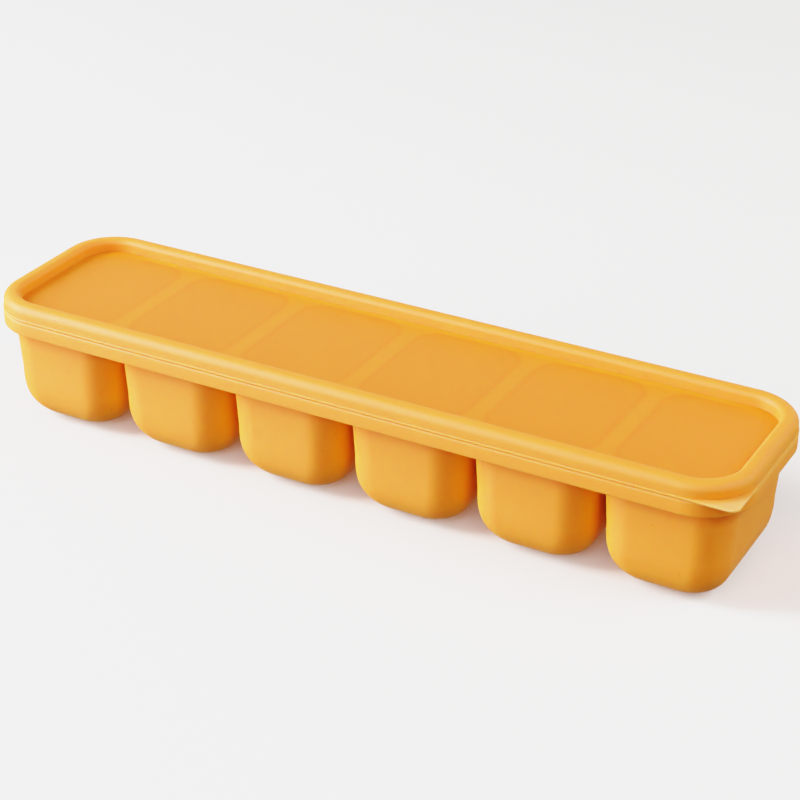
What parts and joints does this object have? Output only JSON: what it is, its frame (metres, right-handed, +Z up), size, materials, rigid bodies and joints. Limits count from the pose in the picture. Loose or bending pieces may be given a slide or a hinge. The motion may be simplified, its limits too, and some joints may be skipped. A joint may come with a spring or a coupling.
{
  "type": "baby food freezer tray",
  "caption": "Soft silicone tray for freezing baby food: a row of rounded oblong cups under a wide rim, with a flat press-on lid that has a raised bead round its edge and a corner pull tab.",
  "frame": {"origin": "on the table under the middle of the tray", "axes": "+X along the row of cups, +Z up, and the pull tab is at the corner towards +X and -Y"},
  "size_m": [0.285, 0.0728, 0.0495],
  "materials": {
    "tray_silicone": "satin, slightly translucent silicone, apricot orange",
    "lid_silicone": "satin, slightly translucent silicone, apricot orange, a little lighter than the cups",
    "wire": "drawn stainless steel"
  },
  "bodies": {
    "base": {"tray": "tray_silicone", "rim_wire": "wire"},
    "lid": {"lid": "lid_silicone"},
    "tab": {"pull_tab": "lid_silicone"}
  },
  "joints": [
    {"name": "lid_lift", "type": "slide", "parent": "base", "child": "lid", "axis": [0, 0, 1], "range_m": [0, 0.08]},
    {"name": "tab_bend", "type": "hinge", "parent": "lid", "child": "tab", "pos_m": [0.13731, -0.03116, 0.0441], "axis": [-0.7071, -0.7071, 0], "range_deg": [-20, 90], "stiffness_Nm_per_rad": 0.0004}
  ]
}
